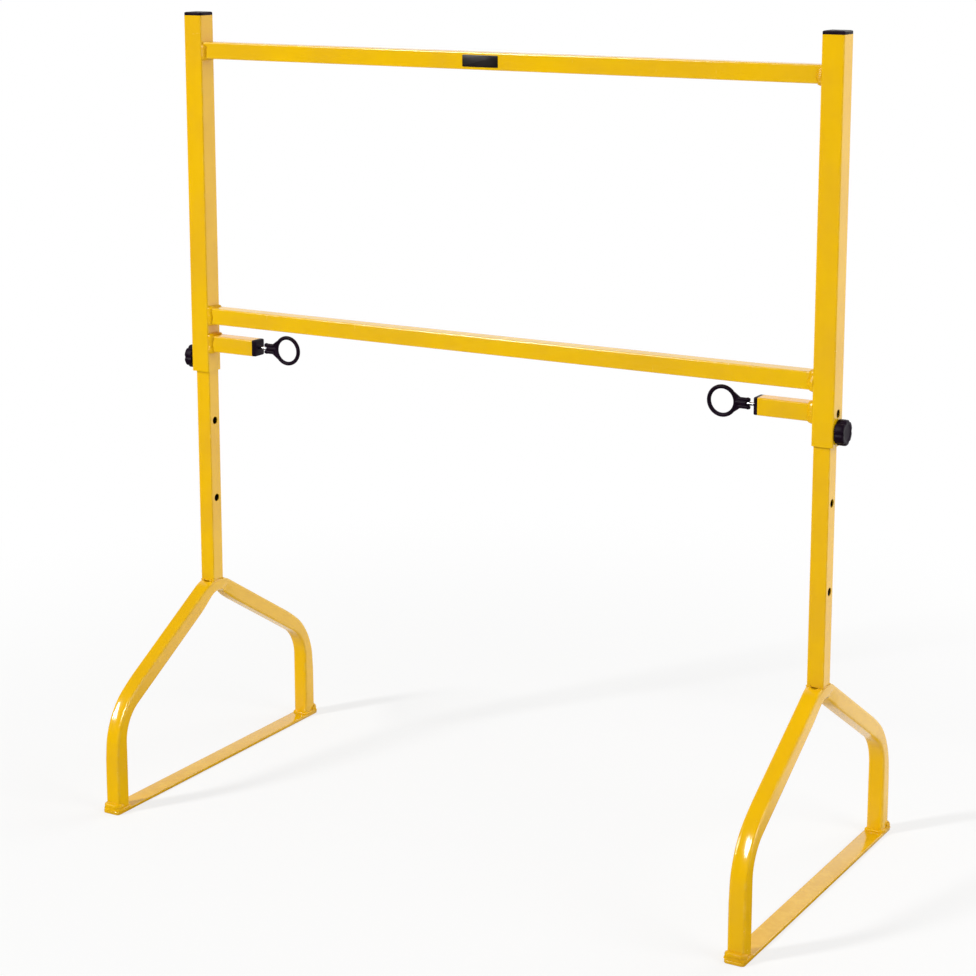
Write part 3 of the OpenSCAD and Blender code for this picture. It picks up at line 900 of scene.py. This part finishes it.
hoop = makeHoop()
markEdges(hoop)
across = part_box("left_foot_hoop")[0].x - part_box("right_foot_hoop")[0].x
leftHoop = movedCopy(hoop, "leftFootHoop", Matrix.Translation((across, 0, 0)))
settle(hoop, "right_leg", hoopPaint, "yellow_paint", "right_foot_hoop")
settle(leftHoop, "left_leg", hoopPaint, "yellow_paint", "left_foot_hoop")
print("foot hoops bent:", len(hoop.data.polygons), "faces each")


# Foot bars: rolled flat bar with cropped round ends
barSet = {"corner": 0.005, "cornerSteps": 5, "edge": 0.0011, "edgeSteps": 3}
bar = makeFlat("rightFootBar", "right_foot_bar", barSet, "z", lambda edge: runsAcross(edge, "z"))
markEdges(bar)
# the bars take the darker yellow, which is painted shade
settlePair(bar, "FootBar", "{}_leg", shadedBarPaint, "yellow_paint", "foot_bar")
print("foot bars cropped")


# Weld beads: a loop of edges along the seam becomes a rope of uneven thickness
weldSet = {
    "step": 0.0009,
    "corner": 0.002,
    "cornerSteps": 3,
    "sides": 3,
    "ripplePitch": 0.0031,
    "rippleShare": 0.10,
    "lumpShare": 0.36,
    "lumpScale": 95.0,
    "leastShare": 0.05,
    "bite": 0.0006,
    "railSize": 0.0031,
    "railRun": 2.3,
    "railTaper": 0.004,
    "railTaperShare": 0.7,
    "legSize": 0.0024,
    "flushShare": 0.72,
    "gapShare": 0.9,
    "cornerShare": 0.5,
    "footSize": 0.0035,
    "toeShare": 0.45,
    "coverSize": 0.0052,
    "coverRise": 0.0060,
    "coverWrap": 0.009,
    "coverTaperShare": 0.6,
    "voxel": 0.00055,
    "smoothing": 12,
    "smoothAngle": 60,
}


def seamLoop(name, side, corner, place, facing=(0, 0, 0)):
    clearSelection()
    bpy.ops.mesh.primitive_plane_add(size=side, location=place, rotation=facing)
    seam = openPiece(name)
    bpy.ops.mesh.bevel(offset=corner, segments=weldSet["cornerSteps"], affect="VERTICES")
    bpy.ops.mesh.delete(type="ONLY_FACE")
    pick(seam, "EDGE", lambda edge: edge.calc_length() > side / 2)
    bpy.ops.mesh.subdivide(number_cuts=int(side / weldSet["step"]))
    return seam


def beadAlong(seam, size, swell):
    # lumps and ripples vary the bead's thickness along the seam
    bpy.ops.object.mode_set(mode="OBJECT")
    makeActive(seam)
    bpy.ops.object.convert(target="CURVE")
    bead = bpy.context.object
    bead.data.dimensions = "3D"
    bead.data.bevel_depth = size
    bead.data.bevel_resolution = weldSet["sides"]
    bead.data.use_fill_caps = True
    for line in bead.data.splines:
        for number, point in enumerate(line.points):
            place = point.co.to_3d()
            ripple = math.sin(2 * math.pi * number * weldSet["step"] / weldSet["ripplePitch"])
            lump = noise.noise(place * weldSet["lumpScale"])
            wave = weldSet["rippleShare"] * ripple + weldSet["lumpShare"] * lump
            point.radius = max(1 + wave + swell(place), weldSet["leastShare"])
    bpy.ops.object.convert(target="MESH")
    bpy.ops.object.mode_set(mode="EDIT")
    closePiece()
    return bead


def endInWall(bead, seat):
    # the bead runs out along its tube, and ends flat inside the post's wall so that the bore stays clear
    reopenPiece(bead)
    bpy.ops.mesh.select_all(action="SELECT")
    bpy.ops.transform.resize(value=(weldSet["railRun"], 1, 1), center_override=(seat, 0, 0))
    reach = seat + weldSet["bite"]
    pick(bead, "VERT", lambda point: point.co.x > reach)
    bpy.ops.transform.resize(value=(0, 1, 1), center_override=(reach, 0, 0))
    closePiece()


def makeEndBead(node, openTop=False):
    # around the end of a rail or housing, where it meets the post
    low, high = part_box(node)
    middle = (high.x, 0, (low.z + high.z) / 2)
    seam = seamLoop("endBead", high.z - low.z, weldSet["corner"], middle, (0, math.pi / 2, 0))
    top = high.z - weldSet["railSize"]
    if openTop:
        pick(seam, "VERT", lambda point: point.co.z > top)
        bpy.ops.mesh.delete(type="VERT")

    def runOut(place):
        nearTop = max(0.0, 1 - (top - place.z) / weldSet["railTaper"])
        return -weldSet["railTaperShare"] * nearTop if openTop else 0.0

    bead = beadAlong(seam, weldSet["railSize"], runOut)
    endInWall(bead, high.x)
    return bead


def makeLegBead():
    # the leg is coped over the crown, so its seam rides on the crown's round
    low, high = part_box("right_leg")
    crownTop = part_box("right_foot_hoop")[1].z
    side, midX = high.y - low.y, (low.x + high.x) / 2
    outer = hoopSet["crownRadius"] + side / 2
    corner = weldSet["corner"]
    seam = seamLoop("legBead", side, corner, (midX, 0, crownTop))
    mesh = bmesh.from_edit_mesh(seam.data)
    for point in mesh.verts:
        point.co.z = crownTop - outer + math.sqrt(outer ** 2 - point.co.y ** 2)
    bmesh.update_edit_mesh(seam.data)

    def shrink(place):
        fromMiddle = abs(place.x - midX)
        if abs(place.y) < side / 2 - corner:
            return -weldSet["flushShare"]
        if fromMiddle < hoopSet["gap"][0]:
            return -weldSet["gapShare"]
        return -weldSet["cornerShare"] if fromMiddle > side / 2 - 2 * corner else 0.0

    return beadAlong(seam, weldSet["legSize"], shrink)


def makeFootBeads():
    low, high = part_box("right_foot_hoop")
    side, midX = high.x - low.x, (low.x + high.x) / 2
    corner, wrap = hoopSet["corner"], weldSet["coverWrap"]
    seat = low.z - weldSet["bite"]
    beads = []
    for way in (-1, 1):
        toe, midY = way * high.y, way * (high.y - side / 2)

        def swell(place):
            return weldSet["toeShare"] if abs(place.y - toe) < weldSet["corner"] else 0.0

        def runOut(place):
            return -weldSet["coverTaperShare"] * abs(place.y - toe) / wrap

        # the first pass goes all round and lies on the bar
        bead = beadAlong(seamLoop("footBead", side, corner, (midX, midY, low.z)), weldSet["footSize"], swell)
        reopenPiece(bead)
        pick(bead, "VERT", lambda point: point.co.z < seat)
        bpy.ops.transform.resize(value=(1, 1, 0), center_override=(0, 0, seat))
        closePiece()

        # a second pass covers it at the toe
        cover = seamLoop("toeBead", side, corner, (midX, midY, low.z + weldSet["coverRise"]))
        pick(cover, "VERT", lambda point: abs(point.co.y - toe) > wrap)
        bpy.ops.mesh.delete(type="VERT")
        beads += [bead, beadAlong(cover, weldSet["coverSize"], runOut)]
    return runTogether(joinPieces("footBeads", beads), weldSet)


def layBeads():
    angle = weldSet["smoothAngle"]
    for rail, name, openTop in (("top_rail", "topRailBeads", True), ("lower_rail", "lowerRailBeads", False)):
        bead = makeEndBead(rail, openTop)
        beads = joinPieces(name, [bead, turnedCopy(bead, "railBeadTwin")])
        settle(beads, "frame", weldPaint, "yellow_paint", rail + "_welds", angle=angle)
    housingBead = makeEndBead("right_pin_housing")
    settlePair(housingBead, "HousingBead", "frame", weldPaint, "yellow_paint", "housing_weld", angle=angle)
    settlePair(makeLegBead(), "LegBead", "{}_leg", weldPaint, "yellow_paint", "leg_weld", angle=angle)
    settlePair(makeFootBeads(), "FootBeads", "{}_leg", weldPaint, "yellow_paint", "foot_welds", angle=angle)


layBeads()
print("weld beads laid")


# Pull rings: ring, flare, two prongs and hub run together like one casting
ringSet = {
    "wire": 0.006,
    "loopSteps": 96,
    "wireSteps": 20,
    "prong": 0.0055,
    "prongRise": 0.0053,
    "bulb": 0.0033,
    "bulbSteps": (24, 16),
    "flareStart": 0.0155,
    "flareEnd": 0.0239,
    "flareNarrow": 0.0161,
    "flareWide": 0.0283,
    "flareThick": 0.004,
    "hub": 0.0074,
    "hubLength": 0.0175,
    "rodSteps": 32,
    "edge": 0.0008,
    "edgeSteps": 3,
    "voxel": 0.00042,
    "smoothing": 8,
    "smoothAngle": 80,
}


def makeLoop(centre, radius):
    across = (math.pi / 2, 0, 0)
    clearSelection()
    bpy.ops.mesh.primitive_torus_add(
        major_radius=radius, minor_radius=ringSet["wire"] / 2, major_segments=ringSet["loopSteps"],
        minor_segments=ringSet["wireSteps"], location=centre, rotation=across,
    )
    loop = openPiece("ringLoop")
    closePiece()
    return loop


def makeFlare(centre, radius, neckEnd):
    # a block that widens towards the ring, cut out by the ring's inside
    start, end = ringSet["flareStart"], ringSet["flareEnd"]
    clearSelection()
    bpy.ops.mesh.primitive_cube_add(
        size=1, location=(neckEnd - (start + end) / 2, 0, centre.z),
        scale=(end - start, ringSet["flareThick"], ringSet["flareNarrow"]),
    )
    flare = openPiece("ringFlare")
    pick(flare, "FACE", lambda face: looksAlong(face, "x", -1))
    bpy.ops.transform.resize(value=(1, 1, ringSet["flareWide"] / ringSet["flareNarrow"]))
    closePiece()
    clearSelection()
    bpy.ops.mesh.primitive_cylinder_add(
        vertices=ringSet["loopSteps"], radius=radius, depth=ringSet["wire"], location=centre,
        rotation=(math.pi / 2, 0, 0),
    )
    cutAway(flare, bpy.context.object)
    return flare


def makeRod(width, length, place):
    clearSelection()
    bpy.ops.mesh.primitive_cylinder_add(
        vertices=ringSet["rodSteps"], radius=width / 2, depth=length, location=place,
        rotation=(0, math.pi / 2, 0),
    )
    rod = openPiece("ringRod")
    pick(rod, "EDGE", lambda edge: runsAcross(edge, "x"))
    bpy.ops.mesh.bevel(offset=ringSet["edge"], segments=ringSet["edgeSteps"])
    closePiece()
    return rod


def makeBulb(place):
    segments, rings = ringSet["bulbSteps"]
    clearSelection()
    bpy.ops.mesh.primitive_uv_sphere_add(
        segments=segments, ring_count=rings, radius=ringSet["bulb"], location=place,
    )
    bulb = openPiece("ringBulb")
    closePiece()
    return bulb


def makeRing():
    low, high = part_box("right_pull_ring")
    reach = (high.z - low.z) / 2
    centre = Vector((low.x + reach, 0, (low.z + high.z) / 2))
    radius = reach - ringSet["wire"] / 2
    prongLength = ringSet["flareEnd"] - ringSet["wire"]
    lifts = (centre.z + ringSet["prongRise"], centre.z - ringSet["prongRise"])
    hubX = centre.x + radius + ringSet["hubLength"] / 2
    parts = [makeLoop(centre, radius), makeFlare(centre, radius, high.x)]
    parts += [makeRod(ringSet["prong"], prongLength, (high.x - prongLength / 2, 0, z)) for z in lifts]
    parts.append(makeRod(ringSet["hub"], ringSet["hubLength"], (hubX, 0, centre.z)))
    parts += [makeBulb((high.x - ringSet["bulb"], 0, z)) for z in lifts]
    return runTogether(joinPieces("rightPullRing", parts), ringSet)


ring = makeRing()
ringAngle = ringSet["smoothAngle"]
settlePair(ring, "PullRing", "{}_pin", blackPlastic, "black_plastic", "pull_ring", angle=ringAngle)
print("pull rings cast:", len(ring.data.polygons), "faces each")


# Pin springs: wire wound around the pin
springSet = {"wire": 0.0015, "wireSides": 8, "turns": 9, "turnSteps": 24, "smoothAngle": 60}


def makeSpring():
    low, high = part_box("right_pin_spring")
    wire, turns = springSet["wire"], springSet["turns"]
    coil = (high.y - low.y - wire) / 2
    clearSelection()
    bpy.ops.mesh.primitive_circle_add(
        vertices=springSet["wireSides"], radius=wire / 2, location=(low.x + wire / 2, coil, 0),
    )
    spring = openPiece("pinSpring")
    bpy.ops.object.mode_set(mode="OBJECT")
    steps = springSet["turnSteps"]
    rise = (high.x - low.x - wire) / turns
    applyStep(
        spring, "SCREW", axis="X", steps=steps, render_steps=steps, iterations=turns, screw_offset=rise,
    )
    reopenPiece(spring)
    pick(spring, "EDGE", lambda edge: edge.is_boundary)
    bpy.ops.mesh.fill_holes(sides=springSet["wireSides"])
    bpy.ops.mesh.select_all(action="SELECT")
    bpy.ops.transform.translate(value=(0, 0, (low.z + high.z) / 2))
    closePiece()
    return spring


rightSpring = makeSpring()
leftSpring = turnedCopy(rightSpring, "leftPinSpring")
rightSpring.name = "rightPinSpring"
for side, spring in (("right", rightSpring), ("left", leftSpring)):
    node = f"{side}_pin_spring"
    finishPiece(spring, brightZinc, "bright_zinc", node, angle=springSet["smoothAngle"])
    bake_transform(spring)
print("pin springs wound")


# Clamp knobs: six broad lobes with narrow grooves, rounded rims, a shallow dish, a pocket over the nut
knobSet = {
    "lobes": 6,
    "lobePoints": 10,
    "grooveShare": 0.861,
    "flankShare": 0.94,
    "rim": 0.0021,
    "rimSteps": 3,
    "dishInset": 0.0040,
    "dishDepth": 0.0010,
    "dishLip": 0.0008,
    "rounding": 1,
    "pocket": 0.0085,
    "pocketDepth": 0.0042,
    "pocketSteps": 64,
    "smoothAngle": 50,
}


def makeKnob():
    low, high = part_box("right_knob")
    middle = (low + high) / 2
    width = max(high.y - low.y, high.z - low.z)
    points = knobSet["lobes"] * knobSet["lobePoints"]
    clearSelection()
    bpy.ops.mesh.primitive_cylinder_add(
        vertices=points, radius=width / 2, depth=high.x - low.x, location=middle,
        rotation=(0, math.pi / 2, 0),
    )
    knob = openPiece("rightClampKnob")

    def stepsToGroove(point):
        place = point.co - middle
        step = round(math.atan2(place.y, place.z) / (2 * math.pi) * points)
        return abs(step % knobSet["lobePoints"] - knobSet["lobePoints"] // 2)

    pick(knob, "EDGE", lambda edge: runsAcross(edge, "x"))
    bpy.ops.mesh.bevel(offset=knobSet["rim"], segments=knobSet["rimSteps"])
    pick(knob, "FACE", lambda face: looksAlong(face, "x") and face.calc_area() > width ** 2 / 4)
    bpy.ops.mesh.inset(thickness=knobSet["dishInset"])
    bpy.ops.mesh.inset(thickness=knobSet["dishLip"], depth=-knobSet["dishDepth"])
    bpy.ops.mesh.inset(thickness=knobSet["dishLip"])
    inside = width / 2 - knobSet["rim"] - knobSet["dishInset"] / 2
    for steps, share in ((1, knobSet["flankShare"]), (0, knobSet["grooveShare"] / knobSet["flankShare"])):
        def nearGroove(point):
            return stepsToGroove(point) <= steps and (point.co - middle).yz.length > inside
        pick(knob, "VERT", nearGroove)
        bpy.ops.transform.resize(value=(1, share, share), center_override=middle)
    closePiece()
    applyStep(knob, "SUBSURF", levels=knobSet["rounding"], render_levels=knobSet["rounding"])

    clearSelection()
    bpy.ops.mesh.primitive_cylinder_add(
        vertices=knobSet["pocketSteps"], radius=knobSet["pocket"], depth=2 * knobSet["pocketDepth"],
        location=(low.x, 0, middle.z), rotation=(0, math.pi / 2, 0),
    )
    cutAway(knob, bpy.context.object)
    return knob


knob = makeKnob()
settlePair(knob, "ClampKnob", "{}_knob", blackPlastic, "black_plastic", "knob", angle=knobSet["smoothAngle"])
print("clamp knobs shaped")


# Caps: moulded flange with a slight crown, and a plug that sits in the tube
capSet = {
    "post": {"flange": 0.005, "corner": 0.0030, "rim": 0.0014, "crown": 0.0004, "crownInset": 0.0013,
             "plugGap": 0.0017, "plugEdge": 0.001, "hole": 0},
    "housing": {"flange": 0.006, "corner": 0.0026, "rim": 0.0012, "crown": 0.0003, "crownInset": 0.0012,
                "plugGap": 0.0017, "plugEdge": 0.0006, "hole": 0.0026},
    "cornerSteps": 5,
    "rimSteps": 4,
    "plugSteps": 2,
    "holeSteps": 48,
}


def makeCap(name, values, side, plugDepth):
    # the cap's top faces +Z and the tube's end lies at zero
    body = values["flange"] - values["crown"]
    clearSelection()
    bpy.ops.mesh.primitive_cube_add(size=1, location=(0, 0, body / 2), scale=(side, side, body))
    cap = openPiece(name)
    pick(cap, "EDGE", lambda edge: runsAlong(edge, "z"))
    bpy.ops.mesh.bevel(offset=values["corner"], segments=capSet["cornerSteps"])
    pick(cap, "EDGE", lambda edge: midOf(edge).z > body - mergeGap)
    bpy.ops.mesh.bevel(offset=values["rim"], segments=capSet["rimSteps"])
    pick(cap, "FACE", lambda face: looksAlong(face, "z"))
    bpy.ops.mesh.inset(thickness=values["crownInset"])
    bpy.ops.transform.translate(value=(0, 0, values["crown"]))
    pick(cap, "FACE", lambda face: looksAlong(face, "z", -1))
    bpy.ops.mesh.inset(thickness=values["plugGap"])
    drawOn((0, 0, -plugDepth))
    pick(cap, "EDGE", lambda edge: midOf(edge).z < mergeGap - plugDepth)
    bpy.ops.mesh.bevel(offset=values["plugEdge"], segments=capSet["plugSteps"])
    closePiece()
    if values["hole"]:
        clearSelection()
        steps = capSet["holeSteps"]
        bpy.ops.mesh.primitive_cylinder_add(vertices=steps, radius=values["hole"], depth=4 * plugDepth)
        cutAway(cap, bpy.context.object)
    return cap


def seatCap(cap, place, facing):
    makeActive(cap)
    cap.location = place
    cap.rotation_euler = facing
    bpy.ops.object.transform_apply(location=True, rotation=True, scale=True)


def makeCaps():
    low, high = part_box("right_post_cap")
    values = capSet["post"]
    tubeEnd = high.z - values["flange"]
    cap = makeCap("postCap", values, high.x - low.x, tubeEnd - low.z)
    seatCap(cap, ((low.x + high.x) / 2, 0, tubeEnd), (0, 0, 0))
    settlePair(cap, "PostCap", "frame", blackPlastic, "black_plastic", "post_cap")
    low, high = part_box("right_housing_cap")
    values = capSet["housing"]
    tubeEnd = low.x + values["flange"]
    cap = makeCap("housingCap", values, high.z - low.z, high.x - tubeEnd)
    seatCap(cap, (tubeEnd, 0, (low.z + high.z) / 2), (0, -math.pi / 2, 0))
    settlePair(cap, "HousingCap", "frame", blackPlastic, "black_plastic", "housing_cap")


makeCaps()
print("caps fitted")


# Plate on the front of the top rail, left bare
plateSet = {"corner": 0.0014, "cornerSteps": 4, "edge": 0.0003, "edgeSteps": 2}
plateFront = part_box("rail_plate")[0].y
plate = makeFlat(
    "railPlate", "rail_plate", plateSet, "y", lambda edge: midOf(edge).y < plateFront + mergeGap,
)
settle(plate, "frame", plateFilm, "black_plastic", "rail_plate")
print("plate fixed")


# CAD nodes take a finish by what their names end in
finishes = {
    "post": postPaint, "top_rail": topRailPaint, "lower_rail": lowRailPaint, "housing": housingPaint,
    "leg": legPaint, "hoop": hoopPaint, "bar": shadedBarPaint,
    "nut": weldPaint, "weld": weldPaint, "welds": weldPaint,
    "cap": blackPlastic, "ring": blackPlastic, "knob": blackPlastic, "plate": plateFilm, "bush": greyNylon,
    "pin": brightZinc, "spring": brightZinc, "washer": brightZinc, "stud": brightZinc,
}


def dressNodes():
    for name, node in nodes.items():
        ends = [end for end in finishes if name == end or name.endswith("_" + end)]
        finish = finishes[max(ends, key=len)]
        node.data.materials.clear()
        node.data.materials.append(finish)


dressNodes()
print("CAD nodes dressed")
